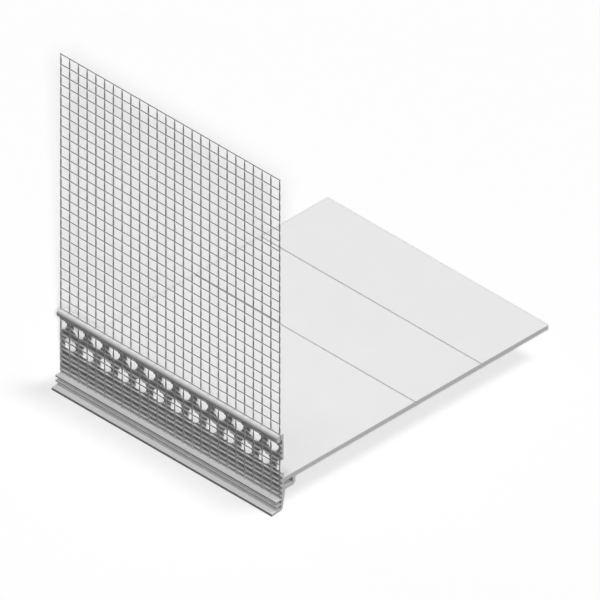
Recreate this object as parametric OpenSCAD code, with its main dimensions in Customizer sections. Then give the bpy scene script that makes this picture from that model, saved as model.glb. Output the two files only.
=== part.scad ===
// Base starter profile for a rendered facade: a rigid PVC extrusion with a flat plate that lies
// under the insulation board, a leg that stands in front of the board, and a drip lip below.
// A strip of glass-fibre reinforcing mesh is welded to the front of the leg.
//
// Lengths are in millimetres and angles in degrees. X runs along the profile, Y from the front
// to the back and Z up. The origin is below the middle of the part, level with its lowest edge.

/* [Piece] */
// Length of the piece, from one cut end to the other
piece_length = 100; // [40:1:200]

/* [Plate] */
// Thickness of the plate under the insulation board
plate_thickness = 1.6; // [1:0.1:3]
// Width of the strip next to the leg, from the leg's back face to the first score's far edge
first_strip = 60; // [30:1:120]
// Width of each strip beyond the first one
next_strip = 30; // [10:1:60]
// How many strips follow the first one
next_strips = 2; // [1:1:4]
// Width of a score at the plate's top face
score_width = 0.6; // [0.3:0.1:1.2]
// Width of a score at its bottom
score_root = 0.2; // [0.1:0.05:0.3]
// Depth of a score
score_depth = 0.65; // [0.1:0.05:0.8]

/* [Leg] */
// Height of the leg above the plate's top face
leg_height = 17.3; // [16.8:0.1:30]
// Thickness of the leg between its ribs
leg_thickness = 0.75; // [0.5:0.05:2]
// Diameter of the rounded bead along the leg's top edge
bead_diameter = 2.5; // [2:0.1:4]
// How far the bead's middle stands in front of the leg's back face
bead_reach = 1.85; // [1.6:0.05:2.5]

/* [Ribs] */
// How far a rib stands out of the leg's front
rib_depth = 0.55; // [0.2:0.05:1.2]
// Thickness of a rib where it leaves the leg
rib_root = 1; // [0.4:0.05:1.1]
// Thickness of a rib at its tip
rib_tip = 0.2; // [0.15:0.05:0.4]
// Distance from one rib to the next
rib_pitch = 1.95; // [1.3:0.05:4]
// Height of the lowest rib's middle above the upper fin
first_rib = 1.23; // [0.8:0.01:3]

/* [Keying holes] */
// Diameter of a hole
hole_diameter = 5; // [2:0.1:6]
// Distance from one hole to the next in a row
hole_pitch = 8; // [6.5:0.1:9]
// Height of the lower row's middle above the plate's top face
lower_row = 4.75; // [3.5:0.05:6]

/* [Jointing chamber] */
// Clear width of the chamber under the plate
chamber_width = 4.1; // [2:0.1:10]
// Clear height of the chamber
chamber_height = 2; // [1:0.1:3]
// Thickness of the chamber's floor and rear wall
chamber_wall = 1.05; // [0.6:0.05:2]
// Radius of the chamber's outer bottom corner
chamber_corner = 1.4; // [0.2:0.1:2]

/* [Fins] */
// Depth of the upper fin's top face below the plate's top face
fin_drop = 7.87; // [7:0.01:12]
// Distance from the upper fin to the lower one
fin_step = 1.85; // [1:0.05:2.2]
// Thickness of a fin
fin_thickness = 0.5; // [0.3:0.05:0.8]
// Distance from the leg's back face to the tip of a fin
fin_reach = 3.55; // [2.2:0.05:6]

/* [Foot and drip lip] */
// Depth of the drip lip's lowest edge below the plate's top face
foot_depth = 12.72; // [12:0.01:20]
// Thickness of the web between the fins and the lip
foot_thickness = 0.87; // [0.6:0.01:1.5]
// Forward lean of the web
foot_lean = 9; // [0:1:20]
// Distance from the leg's back face to the front edge of the lip
lip_reach = 5.33; // [4:0.01:12]
// Thickness of the lip
lip_thickness = 0.93; // [0.6:0.01:1.5]
// Fall of the lip towards its front edge
lip_fall = 6; // [0:1:15]
// Radius between the lip's top face and the web
lip_fillet = 0.6; // [0.1:0.1:1]
// Radius of the rounded corner behind the lip
heel_radius = 1.1; // [0.3:0.1:1.5]

/* [Mesh] */
// Distance from one strand to the next, both ways
mesh_pitch = 4; // [2.5:0.1:8]
// How many rows of weft strands the mesh has
mesh_rows = 32; // [12:1:60]
// Height of the lowest weft strand's middle above the upper fin
first_weft = 1.45; // [0.5:0.05:3]
// Thickness of the mesh
mesh_thickness = 0.3; // [0.15:0.05:0.6]
// Width of the warp strands, which run up and down
warp_width = 0.7; // [0.2:0.05:1]
// Width of the weft strands, which run along the profile
weft_width = 0.5; // [0.2:0.05:1]

/* [Hidden] */
pvc_colour = "#EAEAEA";
mesh_colour = "#E3E3E3";
$fn = 48;
// Steps in a rounded corner of the section
corner_steps = 6;
// Overshoot of a cutter past the face that it opens
overshoot = 0.5;

// Inside this file the section is drawn from the seat of the insulation board: Y = 0 is the leg's
// back face and Z = 0 the plate's top face, with Y positive to the back.
plate_width = first_strip + next_strips * next_strip;
leg_front = -leg_thickness;
rib_front = leg_front - rib_depth;
mesh_front = rib_front - mesh_thickness;
plate_bottom = -plate_thickness;
chamber_bottom = plate_bottom - chamber_height;
arm_bottom = chamber_bottom - chamber_wall;
fin_top = -fin_drop;
bead_bottom = leg_height - bead_diameter;
upper_row = lower_row + hole_pitch * sin(60);

// Ribs fill the leg's front from the upper fin to just under the bead
lowest_rib = fin_top + first_rib;
highest_rib = bead_bottom - rib_pitch / 2;
rib_heights = [for (z = lowest_rib; z <= highest_rib; z = z + rib_pitch) z];

// The mesh stands on the upper fin, with its outer warp strands flush with the profile's ends
mesh_bottom = fin_top;
warp_gaps = round((piece_length - warp_width) / mesh_pitch);
warp_step = (piece_length - warp_width) / warp_gaps;
rows_in_part = ceil(mesh_rows / 3);

function weft_height(row) = mesh_bottom + first_weft + row * mesh_pitch;

// The web leans forward from the upper fin's root: its front face at a height, and its back face
web_shift = foot_thickness / cos(foot_lean);
function web_front(z) = leg_front + (z - fin_top) * tan(foot_lean);
function web_back(z) = web_front(z) + web_shift;

// Height of the lip's underside, and of its top face, at a distance behind the leg's back face
function lip_under(y) = -foot_depth + (y + lip_reach) * tan(lip_fall);
function lip_top(y) = lip_under(y) + lip_thickness / cos(lip_fall);

// Meeting point of the sloping lip, raised by a height, with the leaning web, moved by a shift
function lip_meets_web(rise, shift) =
    let (z = (lip_under(web_front(0) + shift) + rise) / (1 - tan(foot_lean) * tan(lip_fall)))
    [web_front(z) + shift, z];

// Points of a corner at b, between a and c, rounded to radius r
function rounded(a, b, c, r) =
    let (to_a = (a - b) / norm(a - b))
    let (to_c = (c - b) / norm(c - b))
    let (half_angle = acos(to_a * to_c) / 2)
    let (middle = b + (to_a + to_c) / norm(to_a + to_c) * r / sin(half_angle))
    let (start = b + to_a * r / tan(half_angle) - middle)
    let (end = b + to_c * r / tan(half_angle) - middle)
    let (sweep = 180 - 2 * half_angle)
    [for (i = [0 : corner_steps])
        let (t = i / corner_steps)
        middle + (sin((1 - t) * sweep) * start + sin(t * sweep) * end) / sin(sweep)];

// Moves the part from the seat of the insulation board to the part's own origin
module to_origin() {
    translate([-piece_length / 2, (lip_reach - plate_width) / 2, foot_depth])
        children();
}

// Extrudes a section, drawn with its Y across and its Z up, along the whole piece
module along_piece() {
    rotate([90, 0, 90])
        linear_extrude(piece_length)
            children();
}

module leg_section() {
    translate([leg_front, arm_bottom])
        square([leg_thickness, leg_height - arm_bottom]);
}

module rib_section() {
    for (z = rib_heights)
        translate([0, z])
            polygon([
                [rib_front, -rib_tip / 2],
                [leg_front, -rib_root / 2],
                [leg_front / 2, -rib_root / 2],
                [leg_front / 2, rib_root / 2],
                [leg_front, rib_root / 2],
                [rib_front, rib_tip / 2]]);
}

// The bead is round in front and below, and flat on top, level with the leg
module bead_section() {
    bead_radius = bead_diameter / 2;
    translate([-bead_reach, leg_height - bead_radius]) {
        circle(bead_radius);
        square([bead_reach - leg_thickness / 2, bead_radius]);
    }
}

module plate_section() {
    translate([leg_front / 2, plate_bottom])
        square([plate_width - leg_front / 2, plate_thickness]);
}

// The plate closes the chamber above and the leg closes it in front
module chamber_section() {
    back = chamber_width + chamber_wall;
    difference() {
        polygon(concat(
            [[leg_front / 2, plate_bottom / 2]],
            [[leg_front / 2, arm_bottom]],
            rounded([0, arm_bottom], [back, arm_bottom], [back, plate_bottom], chamber_corner),
            [[back, plate_bottom / 2]]));
        translate([0, chamber_bottom])
            square([chamber_width, chamber_height]);
    }
}

module fin_section() {
    for (top = [fin_top, fin_top - fin_step]) {
        root = (web_front(top) + web_back(top)) / 2;
        translate([-fin_reach, top - fin_thickness])
            square([fin_reach + root, fin_thickness]);
    }
}

// The web carries on down from the leg and bends forward into the sloping drip lip
module foot_section() {
    web_top = [leg_front, fin_top];
    back_top = [web_back(arm_bottom), arm_bottom];
    inner_corner = lip_meets_web(lip_thickness / cos(lip_fall), 0);
    heel = lip_meets_web(0, web_shift);
    front_top = [-lip_reach, lip_top(-lip_reach)];
    front_bottom = [-lip_reach, lip_under(-lip_reach)];
    polygon(concat(
        [[leg_front, arm_bottom], web_top],
        rounded(web_top, inner_corner, front_top, lip_fillet),
        [front_top, front_bottom],
        rounded(front_bottom, heel, back_top, heel_radius),
        [back_top]));
}

module keying_holes() {
    depth = leg_thickness + rib_depth + 2 * overshoot;
    rows = [[hole_pitch / 2, lower_row], [0, upper_row]];
    for (row = rows)
        for (x = [row[0] : hole_pitch : piece_length + hole_diameter / 2])
            translate([x, overshoot, row[1]])
                rotate([90, 0, 0])
                    cylinder(h = depth, d = hole_diameter);
}

// Scores that narrow downwards, along which the plate's outer strips are snapped off
module scores() {
    side_width = (score_width - score_root) / 2;
    for (i = [0 : next_strips - 1])
        translate([-overshoot, first_strip + i * next_strip, 0])
            rotate([90, 0, 90])
                linear_extrude(piece_length + 2 * overshoot)
                    polygon([
                        [-score_width, 0],
                        [side_width - score_width, -score_depth],
                        [-side_width, -score_depth],
                        [0, 0]]);
}

// Space that the strands of the mesh take up inside the bead
module strands_in_bead() {
    slot_bottom = bead_bottom - overshoot;
    slot_height = bead_diameter + 2 * overshoot;
    for (i = [0 : warp_gaps])
        translate([i * warp_step, mesh_front, slot_bottom])
            cube([warp_width, mesh_thickness, slot_height]);
    for (row = [0 : mesh_rows - 1]) {
        low = weft_height(row) - weft_width / 2;
        if (low + weft_width > bead_bottom && low < leg_height)
            translate([-overshoot, mesh_front, low])
                cube([piece_length + 2 * overshoot, mesh_thickness, weft_width]);
    }
}

// The whole extrusion, in rigid PVC
module starter_profile() {
    color(pvc_colour)
        to_origin()
            difference() {
                along_piece() {
                    leg_section();
                    rib_section();
                    bead_section();
                    plate_section();
                    chamber_section();
                    fin_section();
                    foot_section();
                }
                keying_holes();
                scores();
                strands_in_bead();
            }
}

// One of the three parts, counted from the bottom, that the welded mesh is drawn in
module mesh_part(part) {
    first_row = part * rows_in_part;
    last_row = min(first_row + rows_in_part, mesh_rows) - 1;
    low = part == 0 ? mesh_bottom : weft_height(first_row) - mesh_pitch / 2;
    high = part == 2 ? weft_height(last_row) + weft_width / 2 : weft_height(last_row) + mesh_pitch / 2;
    color(mesh_colour)
        to_origin()
            translate([0, rib_front, 0])
                rotate([90, 0, 0])
                    linear_extrude(mesh_thickness) {
                        for (i = [0 : warp_gaps])
                            translate([i * warp_step, low])
                                square([warp_width, high - low]);
                        for (row = [first_row : last_row])
                            translate([0, weft_height(row) - weft_width / 2])
                                square([piece_length, weft_width]);
                    }
}

module mesh_lower() {
    mesh_part(0);
}

module mesh_middle() {
    mesh_part(1);
}

module mesh_upper() {
    mesh_part(2);
}

starter_profile();
mesh_lower();
mesh_middle();
mesh_upper();
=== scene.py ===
"""Base starter profile for a rendered facade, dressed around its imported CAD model.

Lengths are millimetres in the values and metres in the meshes. X runs along the profile,
Y from its front to its back, and Z up. The floor is level with the drip lip's lowest edge.
"""

import math

import bpy
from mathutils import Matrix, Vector


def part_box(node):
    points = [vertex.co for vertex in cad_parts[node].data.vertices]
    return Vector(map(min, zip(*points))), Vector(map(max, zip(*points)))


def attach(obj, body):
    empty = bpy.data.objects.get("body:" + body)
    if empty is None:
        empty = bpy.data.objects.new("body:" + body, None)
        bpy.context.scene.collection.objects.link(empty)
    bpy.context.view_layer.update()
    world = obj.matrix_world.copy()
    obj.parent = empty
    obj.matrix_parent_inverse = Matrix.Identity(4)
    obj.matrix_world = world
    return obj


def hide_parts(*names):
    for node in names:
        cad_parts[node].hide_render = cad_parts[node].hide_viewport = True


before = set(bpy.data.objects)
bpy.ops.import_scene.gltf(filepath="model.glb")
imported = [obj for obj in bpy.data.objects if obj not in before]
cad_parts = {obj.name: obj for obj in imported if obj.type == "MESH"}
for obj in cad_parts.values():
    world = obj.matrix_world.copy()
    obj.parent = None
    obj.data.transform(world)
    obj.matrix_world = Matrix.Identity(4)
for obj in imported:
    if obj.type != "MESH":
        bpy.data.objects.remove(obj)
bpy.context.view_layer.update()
scene = bpy.context.scene
scene.view_settings.view_transform = "Standard"


# Camera
# The piece is drawn in a true isometric view, with no perspective: from the right and in front,
# along a line equally inclined to all three axes.

# Point that the middle of the picture looks at, the width of the view, and how far off it is seen
aim_mm = (36.2, -36.1, 65.1)
view_width_mm = 192.6
camera_distance_mm = 1000

towards_camera = Vector((1, -1, 1)).normalized()
camera = bpy.data.objects.new("camera", bpy.data.cameras.new("camera"))
camera.data.type = "ORTHO"
camera.data.ortho_scale = view_width_mm / 1000
camera.location = Vector(aim_mm) / 1000 + towards_camera * (camera_distance_mm / 1000)
camera.rotation_euler = towards_camera.to_track_quat("Z", "Y").to_euler()
scene.collection.objects.link(camera)
scene.camera = camera


# Profile
# One rigid PVC extrusion, pale grey and satin, sawn to length. The keying holes in its leg are
# punched after it leaves the die.

def linear(hex_colour):
    """Turns an sRGB hex colour into the linear colour that shaders take."""
    values = [int(hex_colour[i:i + 2], 16) / 255 for i in (0, 2, 4)]
    return tuple(v / 12.92 if v <= 0.04045 else ((v + 0.055) / 1.055) ** 2.4 for v in values) + (1.0,)


def add_node(tree, kind, settings=None, inputs=None):
    """Adds a node with its settings, and gives inputs, by name or number, a value or a link.

    A link comes from an output, or from the first output of a node.
    """
    node = tree.nodes.new(kind)
    for name, value in (settings or {}).items():
        setattr(node, name, value)
    for name, value in (inputs or {}).items():
        if isinstance(value, bpy.types.Node):
            value = value.outputs[0]
        if isinstance(value, bpy.types.NodeSocket):
            tree.links.new(value, node.inputs[name])
        else:
            node.inputs[name].default_value = value
    return node


def new_material(name):
    """Starts a material, and gives its node tree and its one shader."""
    material = bpy.data.materials.new(name)
    material.use_nodes = True
    return material, material.node_tree, material.node_tree.nodes["Principled BSDF"]


# Rigid PVC is a pale, evenly filled plastic with a satin skin. The die draws faint lines along it,
# the filler leaves a cloudy tone, and a saw or a punch leaves a rougher and slightly paler face.
# The real die lines and saw marks are finer, and are drawn as coarse as they need to show.
pvc_skin = "E9E9E9"
pvc_cloud = "E5E5E5"
pvc_cut = "ECECEC"
die_line_mm = 0.35
die_line_length_mm = 60
cloud_mm = 14
saw_mark_mm = 0.25
pvc_relief_mm = 0.03
pvc_relief_strength = 0.12
skin_roughness = (0.38, 0.5)
cut_roughness = 0.75
pvc_ior = 1.53
pvc_specular = 0.3

pvc, tree, pvc_shader = new_material("extruded_rigid_pvc")
place = add_node(tree, "ShaderNodeTexCoord")

# A face that was cut doesn't run along X: its normal leans that way
least_lean = 0.05
normal = add_node(tree, "ShaderNodeSeparateXYZ", inputs={0: place.outputs["Normal"]})
lean = add_node(tree, "ShaderNodeMath", {"operation": "ABSOLUTE"}, {0: normal.outputs["X"]})
cut = add_node(tree, "ShaderNodeMath", {"operation": "GREATER_THAN"}, {0: lean, 1: least_lean})

# Die lines vary across the section and hardly at all along it
stretched = add_node(tree, "ShaderNodeMapping", inputs={
    "Vector": place.outputs["Object"],
    "Scale": (1000 / die_line_length_mm, 1000 / die_line_mm, 1000 / die_line_mm)})
die_lines = add_node(tree, "ShaderNodeTexNoise", inputs={
    "Vector": stretched, "Scale": 1.0, "Detail": 3.0, "Roughness": 0.6})
clouds = add_node(tree, "ShaderNodeTexNoise", inputs={
    "Vector": place.outputs["Object"], "Scale": 1000 / cloud_mm, "Detail": 4.0, "Roughness": 0.55})
saw_marks = add_node(tree, "ShaderNodeTexNoise", inputs={
    "Vector": place.outputs["Object"], "Scale": 1000 / saw_mark_mm, "Detail": 2.0})

# Input 0 of a Mix node is its factor. It mixes the numbers at 2 and 3 into output 0, or the
# colours at 6 and 7 into output 2.
skin = add_node(tree, "ShaderNodeMix", {"data_type": "RGBA"}, {
    0: clouds.outputs["Fac"], 6: linear(pvc_skin), 7: linear(pvc_cloud)})
colour = add_node(tree, "ShaderNodeMix", {"data_type": "RGBA"}, {
    0: cut, 6: skin.outputs[2], 7: linear(pvc_cut)})
satin = add_node(tree, "ShaderNodeMapRange", inputs={
    "Value": die_lines.outputs["Fac"], "To Min": skin_roughness[0], "To Max": skin_roughness[1]})
roughness = add_node(tree, "ShaderNodeMix", {"data_type": "FLOAT"}, {
    0: cut, 2: satin, 3: cut_roughness})
relief = add_node(tree, "ShaderNodeMix", {"data_type": "FLOAT"}, {
    0: cut, 2: die_lines.outputs["Fac"], 3: saw_marks.outputs["Fac"]})
bump = add_node(tree, "ShaderNodeBump", inputs={
    "Strength": pvc_relief_strength, "Distance": pvc_relief_mm / 1000, "Height": relief})
tree.links.new(colour.outputs[2], pvc_shader.inputs["Base Color"])
tree.links.new(roughness.outputs[0], pvc_shader.inputs["Roughness"])
tree.links.new(bump.outputs[0], pvc_shader.inputs["Normal"])
pvc_shader.inputs["IOR"].default_value = pvc_ior
pvc_shader.inputs["Specular IOR Level"].default_value = pvc_specular

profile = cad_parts["starter_profile"]
profile.data.materials.clear()
profile.data.materials.append(pvc)


# Reinforcing mesh
# A leno weave of glass yarns, coated and set into one stiff strip: two warp yarns twist about each
# other and hold a flat weft yarn at each half turn. It is welded to the leg's ribs and passes up
# through the bead.

# Sizes of the weave, which is drawn in as many parts as the model has nodes for it
pitch_mm = 4.0
first_weft_mm = 1.45
weft_counts = {"mesh_lower": 11, "mesh_middle": 11, "mesh_upper": 10}
warp_count = 26
warp_width_mm = 0.7
warp_yarn_width_mm = 0.4
warp_yarn_thickness_mm = 0.13
weft_width_mm = 0.5
weft_thickness_mm = 0.16
weft_wave_mm = 0.03

# The largest drop of coating at a crossing, and the smallest as a share of it
coating_mm = (0.66, 0.22, 0.46)
least_coating = 0.8

# Faces around a yarn, rings along it for each pitch, and how far the last ring is from a cut end
yarn_sides = 8
warp_rings_per_pitch = 8
weft_rings_per_pitch = 4
cut_edge_mm = 0.02

# Coated glass yarn is white glass in a clear, slightly milky resin: off-white, with a soft gloss
# and streaks along the strand where the filaments lie close under the coating. A filament is too
# fine to show, so a streak stands for a bundle of them.
glass_pale = "EFEFEF"
glass_deep = "DEDEDE"
streak_mm = 0.12
streak_length_mm = 3
glass_relief_mm = 0.03
glass_relief_strength = 0.3
glass_roughness = 0.42
glass_ior = 1.5
glass_specular = 0.2

glass, tree, glass_shader = new_material("coated_glass_fibre")
place = add_node(tree, "ShaderNodeTexCoord")
streaks_up = add_node(tree, "ShaderNodeMapping", inputs={
    "Vector": place.outputs["Object"],
    "Scale": (1000 / streak_mm, 1000 / streak_mm, 1000 / streak_length_mm)})
streaks = add_node(tree, "ShaderNodeTexNoise", inputs={
    "Vector": streaks_up, "Scale": 1.0, "Detail": 2.0})
yarn_colour = add_node(tree, "ShaderNodeMix", {"data_type": "RGBA"}, {
    0: streaks.outputs["Fac"], 6: linear(glass_deep), 7: linear(glass_pale)})
bump = add_node(tree, "ShaderNodeBump", inputs={
    "Strength": glass_relief_strength, "Distance": glass_relief_mm / 1000,
    "Height": streaks.outputs["Fac"]})
tree.links.new(yarn_colour.outputs[2], glass_shader.inputs["Base Color"])
tree.links.new(bump.outputs[0], glass_shader.inputs["Normal"])
glass_shader.inputs["Roughness"].default_value = glass_roughness
glass_shader.inputs["IOR"].default_value = glass_ior
glass_shader.inputs["Specular IOR Level"].default_value = glass_specular

# One node tree weaves a rectangle of mesh from its sizes. Its lowest weft is made at a height of 0,
# and the last steps move the weave to its place.
weave = bpy.data.node_groups.new("leno_weave", "GeometryNodeTree")
weave.is_modifier = True
weave_inputs = {
    "Int": ("Warps", "Wefts", "Warp rings", "Weft rings", "Yarn sides"),
    "Float": ("Warp length", "Warp pitch", "Warp yarn width", "Warp yarn thickness", "Weft length",
              "Weft pitch", "Weft width", "Weft thickness", "Cut edge", "Least coating"),
    "Vector": ("First warp", "Warp middle", "Twist", "Wave", "Coating", "Place"),
    "Material": ("Finish",)}
for kind, names in weave_inputs.items():
    for name in names:
        weave.interface.new_socket(name, in_out="INPUT", socket_type="NodeSocket" + kind)
weave.interface.new_socket("Mesh", in_out="OUTPUT", socket_type="NodeSocketGeometry")
size = add_node(weave, "NodeGroupInput").outputs


def straight_yarn(length, rings, width, thickness, middle):
    """Makes a straight closed yarn along Z, with one more ring close to each cut end.

    The edge of the cut turns between that ring and the end, so that no shade runs along the yarn
    where two parts of the mesh meet.
    """
    between_cuts = add_node(weave, "ShaderNodeMath", {"operation": "MULTIPLY_ADD"}, {
        0: size["Cut edge"], 1: -2.0, 2: length})

    # The tube is 1 m across before it takes its section
    tube = add_node(weave, "GeometryNodeMeshCylinder", {"fill_type": "TRIANGLE_FAN"}, {
        "Vertices": size["Yarn sides"], "Side Segments": rings, "Radius": 0.5,
        "Depth": between_cuts})
    ends = add_node(weave, "FunctionNodeBooleanMath", {"operation": "NOT"}, {
        0: tube.outputs["Side"]})
    drawn_out = add_node(weave, "GeometryNodeExtrudeMesh", inputs={
        "Mesh": tube, "Selection": ends, "Offset Scale": size["Cut edge"], "Individual": False})
    round_faces = add_node(weave, "FunctionNodeBooleanMath", {"operation": "NOT"}, {
        0: drawn_out.outputs["Top"]})
    smooth = add_node(weave, "GeometryNodeSetShadeSmooth", inputs={
        "Geometry": drawn_out, "Shade Smooth": round_faces})
    section = add_node(weave, "ShaderNodeCombineXYZ", inputs={"X": width, "Y": thickness, "Z": 1.0})
    return add_node(weave, "GeometryNodeTransform", inputs={
        "Geometry": smooth, "Scale": section, "Translation": middle})


# The twist of a warp and the wave of a weft both go through half a turn in each pitch
point = add_node(weave, "ShaderNodeSeparateXYZ", inputs={
    0: add_node(weave, "GeometryNodeInputPosition")})
pitches = add_node(weave, "ShaderNodeMath", {"operation": "DIVIDE"}, {
    0: point.outputs["Z"], 1: size["Weft pitch"]})
turn = add_node(weave, "ShaderNodeMath", {"operation": "MULTIPLY"}, {0: pitches, 1: math.pi})
sine = add_node(weave, "ShaderNodeMath", {"operation": "SINE"}, {0: turn})
cosine = add_node(weave, "ShaderNodeMath", {"operation": "COSINE"}, {0: turn})

# Two warp yarns, half a turn apart. They pass in front of and behind a weft, and lie side by side
# in the middle of a cell.
circle = add_node(weave, "ShaderNodeCombineXYZ", inputs={"X": sine, "Y": cosine})
twist = add_node(weave, "ShaderNodeVectorMath", {"operation": "MULTIPLY"}, {
    0: circle, 1: size["Twist"]})
untwisted = straight_yarn(size["Warp length"], size["Warp rings"], size["Warp yarn width"],
                          size["Warp yarn thickness"], size["Warp middle"])
one_yarn = add_node(weave, "GeometryNodeSetPosition", inputs={
    "Geometry": untwisted, "Offset": twist})
other_yarn = add_node(weave, "GeometryNodeTransform", inputs={
    "Geometry": one_yarn, "Rotation": (0, 0, math.pi)})
warp = add_node(weave, "GeometryNodeJoinGeometry")
for yarn in (one_yarn, other_yarn):
    weave.links.new(yarn.outputs[0], warp.inputs[0])
warp_step = add_node(weave, "ShaderNodeCombineXYZ", inputs={"X": size["Warp pitch"]})
warp_places = add_node(weave, "GeometryNodeMeshLine", inputs={
    "Count": size["Warps"], "Start Location": size["First warp"], "Offset": warp_step})
warps = add_node(weave, "GeometryNodeInstanceOnPoints", inputs={
    "Points": warp_places, "Instance": warp})

# Flat weft yarns, which bend a little where the warps press on them
wave = add_node(weave, "ShaderNodeVectorMath", {"operation": "SCALE"}, {
    0: size["Wave"], "Scale": sine})
unbent = straight_yarn(size["Weft length"], size["Weft rings"], size["Weft width"],
                       size["Weft thickness"], (0, 0, 0))
bent = add_node(weave, "GeometryNodeSetPosition", inputs={"Geometry": unbent, "Offset": wave})
weft = add_node(weave, "GeometryNodeTransform", inputs={
    "Geometry": bent, "Rotation": (0, math.pi / 2, 0)})
weft_step = add_node(weave, "ShaderNodeCombineXYZ", inputs={"Z": size["Weft pitch"]})
weft_places = add_node(weave, "GeometryNodeMeshLine", inputs={
    "Count": size["Wefts"], "Offset": weft_step})
wefts = add_node(weave, "GeometryNodeInstanceOnPoints", inputs={
    "Points": weft_places, "Instance": weft})

# The coating gathers in a drop at each crossing, no two quite alike. A drop is 1 m across before
# it takes its size.
crossing_lines = add_node(weave, "GeometryNodeInstanceOnPoints", inputs={
    "Points": warp_places, "Instance": weft_places})
crossings = add_node(weave, "GeometryNodeRealizeInstances", inputs={0: crossing_lines})
fullness = add_node(weave, "FunctionNodeRandomValue", {"data_type": "FLOAT"}, {
    2: size["Least coating"], 3: 1.0, "Seed": 7})
drop_size = add_node(weave, "ShaderNodeVectorMath", {"operation": "SCALE"}, {
    0: size["Coating"], "Scale": fullness.outputs[1]})
ball = add_node(weave, "GeometryNodeMeshIcoSphere", inputs={"Radius": 0.5, "Subdivisions": 2})
drop = add_node(weave, "GeometryNodeSetShadeSmooth", inputs={"Geometry": ball})
drops = add_node(weave, "GeometryNodeInstanceOnPoints", inputs={
    "Points": crossings, "Instance": drop, "Scale": drop_size})

whole = add_node(weave, "GeometryNodeJoinGeometry")
for part in (warps, wefts, drops):
    weave.links.new(part.outputs[0], whole.inputs[0])
placed = add_node(weave, "GeometryNodeTransform", inputs={
    "Geometry": whole, "Translation": size["Place"]})
real = add_node(weave, "GeometryNodeRealizeInstances", inputs={0: placed})
finished = add_node(weave, "GeometryNodeSetMaterial", inputs={
    "Geometry": real, "Material": size["Finish"]})
add_node(weave, "NodeGroupOutput", inputs={"Mesh": finished})


def woven(name, sizes):
    """Runs the weave with these sizes and keeps its result as a plain mesh."""
    piece = bpy.data.objects.new(name, bpy.data.meshes.new(name))
    scene.collection.objects.link(piece)
    modifier = piece.modifiers.new("weave", "NODES")
    modifier.node_group = weave
    for item in weave.interface.items_tree:
        if item.in_out == "INPUT":
            modifier[item.identifier] = sizes[item.name]
    evaluated = piece.evaluated_get(bpy.context.evaluated_depsgraph_get())
    mesh = bpy.data.meshes.new_from_object(evaluated)
    piece.modifiers.clear()
    piece.data = mesh
    return piece


# The wefts of each part go on one pitch above the last one of the part below it
weft_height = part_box("mesh_lower")[0][2] + first_weft_mm / 1000
for node, weft_count in weft_counts.items():
    low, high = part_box(node)
    length, thickness, height = (end - start for start, end in zip(low, high))
    piece = woven("woven_" + node, {
        "Warps": warp_count,
        "Wefts": weft_count,
        "Warp rings": round(height / pitch_mm * 1000 * warp_rings_per_pitch),
        "Weft rings": warp_count * weft_rings_per_pitch,
        "Yarn sides": yarn_sides,
        "Warp length": height,
        "Warp pitch": (length - warp_width_mm / 1000) / (warp_count - 1),
        "Warp yarn width": warp_yarn_width_mm / 1000,
        "Warp yarn thickness": warp_yarn_thickness_mm / 1000,
        "Weft length": length,
        "Weft pitch": pitch_mm / 1000,
        "Weft width": weft_width_mm / 1000,
        "Weft thickness": weft_thickness_mm / 1000,
        "Cut edge": cut_edge_mm / 1000,
        "Least coating": least_coating,
        "First warp": Vector((low[0] + warp_width_mm / 2 / 1000, 0, 0)),
        "Warp middle": Vector((0, 0, (low[2] + high[2]) / 2 - weft_height)),
        "Twist": Vector(((warp_width_mm - warp_yarn_width_mm) / 2 / 1000,
                         (thickness - warp_yarn_thickness_mm / 1000) / 2, 0)),
        "Wave": Vector((0, weft_wave_mm / 2 / 1000, 0)),
        "Coating": Vector(coating_mm) / 1000,
        "Place": Vector((0, (low[1] + high[1]) / 2, weft_height)),
        "Finish": glass})
    weft_height += weft_count * pitch_mm / 1000
    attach(piece, "root")
    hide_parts(node)


# Studio
# One lamp overhead that leans a little to the front, a broad one that leans to the back, a fill
# from the right that casts no shadow, and a weak one from the left. The plain pale floor has two
# lamps of its own.

floor_half_mm = 3000

# Share of the floor's tone that shade can take away, and share of its light that the mesh shades
floor_shade = 0.95
mesh_share = 0.75

# The floor is dark to light that bounces off it, and the backdrop is weak, so that hardly anything
# but the lamps lights the object
bounce_shade = "303030"
backdrop_glow = 0.01


def shown_rays(tree):
    """Gives 1 to rays that show a thing, seen straight, mirrored or through another thing."""
    path = add_node(tree, "ShaderNodeLightPath")
    mirrored = add_node(tree, "ShaderNodeMath", {"operation": "MAXIMUM"}, {
        0: path.outputs["Is Camera Ray"], 1: path.outputs["Is Glossy Ray"]})
    return add_node(tree, "ShaderNodeMath", {"operation": "MAXIMUM"}, {
        0: mirrored, 1: path.outputs["Is Transmission Ray"]})


floor_paint = bpy.data.materials.new("pale_floor")
floor_paint.use_nodes = True
tree = floor_paint.node_tree
tree.nodes.clear()
glow = add_node(tree, "ShaderNodeEmission")
matt = add_node(tree, "ShaderNodeBsdfDiffuse", inputs={"Color": linear("FFFFFF")})
pale = add_node(tree, "ShaderNodeMixShader", inputs={"Fac": floor_shade, 1: glow, 2: matt})
dark = add_node(tree, "ShaderNodeBsdfDiffuse", inputs={"Color": linear(bounce_shade)})
seen = add_node(tree, "ShaderNodeMixShader", inputs={"Fac": shown_rays(tree), 1: dark, 2: pale})
add_node(tree, "ShaderNodeOutputMaterial", inputs={"Surface": seen})

floor_half = floor_half_mm / 1000
corners = [(x * floor_half, y * floor_half, 0) for x, y in ((-1, -1), (1, -1), (1, 1), (-1, 1))]
floor_mesh = bpy.data.meshes.new("floor")
floor_mesh.from_pydata(corners, [], [(0, 1, 2, 3)])
floor_mesh.materials.append(floor_paint)
floor = bpy.data.objects.new("floor", floor_mesh)
scene.collection.objects.link(floor)


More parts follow.
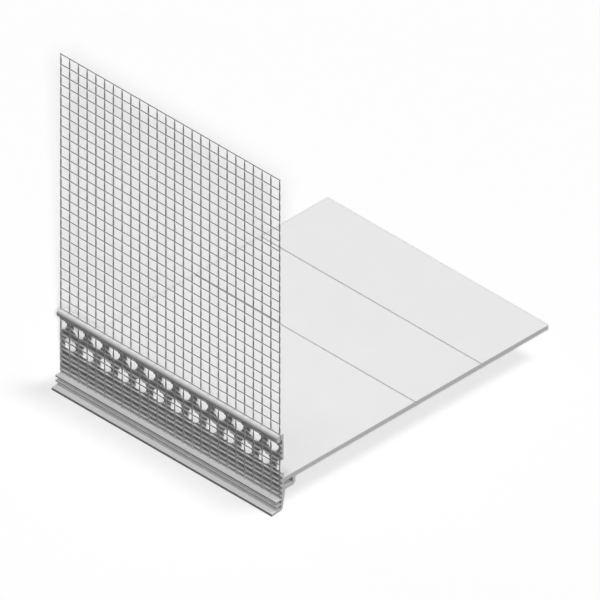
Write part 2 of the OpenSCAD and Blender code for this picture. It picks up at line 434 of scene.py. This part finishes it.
def add_sun(name, direction, strength, spread):
    """Adds a sun lamp that shines from a direction, spread over an angle in degrees."""
    lamp = bpy.data.objects.new(name, bpy.data.lights.new(name, "SUN"))
    lamp.data.energy = strength
    lamp.data.angle = math.radians(spread)
    lamp.rotation_euler = Vector(direction).to_track_quat("Z", "Y").to_euler()
    scene.collection.objects.link(lamp)
    return lamp


front_lamp = add_sun("front_lamp", direction=(0, -0.21, 1), strength=1.15, spread=16)
back_lamp = add_sun("back_lamp", direction=(0.26, 0.53, 1), strength=1.52, spread=50)
fill = add_sun("fill", direction=(1.5, 0, 1), strength=1.14, spread=0)
fill.data.use_shadow = False

# This lamp keeps the left end from going black. It is nearly level, because a lit underside would
# glow on the floor and wash out its shadow.
left_lamp = add_sun("left_lamp", direction=(-1, 0, -0.1), strength=0.75, spread=10)

# The floor's lamp behind the camera lets the mesh shade the floor that shows through it. The one
# above gives the profile's soft shadow around the plate and the lip. Straight above, a strength of
# pi shows white as white.
behind_camera = add_sun("behind_camera", direction=towards_camera,
                        strength=math.pi * mesh_share / towards_camera.z, spread=3)
above_floor = add_sun("above_floor", direction=(0.35, 0.34, 1),
                      strength=math.pi * (1 - mesh_share), spread=22)
shading = bpy.data.collections.new("shading")
shading.objects.link(profile)
above_floor.light_linking.blocker_collection = shading

# The floor's lamps light nothing else, and the other lamps leave the floor out
lit_floor = bpy.data.collections.new("lit_floor")
lit_floor.objects.link(floor)
for lamp in (behind_camera, above_floor):
    lamp.light_linking.receiver_collection = lit_floor
unlit_floor = bpy.data.collections.new("unlit_floor")
unlit_floor.objects.link(floor)
unlit_floor.collection_objects[0].light_linking.link_state = "EXCLUDE"
for lamp in (front_lamp, back_lamp, fill, left_lamp):
    lamp.light_linking.receiver_collection = unlit_floor

# The left lamp shines from a little below the floor's level, and the floor lets it through
left_lamp.light_linking.blocker_collection = unlit_floor

# The backdrop is white wherever it shows
world = bpy.data.worlds.new("studio")
world.use_nodes = True
tree = world.node_tree
strength = add_node(tree, "ShaderNodeMapRange", inputs={
    "Value": shown_rays(tree), "To Min": backdrop_glow, "To Max": 1.0})
backdrop = tree.nodes["Background"]
backdrop.inputs["Color"].default_value = linear("FFFFFF")
tree.links.new(strength.outputs[0], backdrop.inputs["Strength"])
scene.world = world
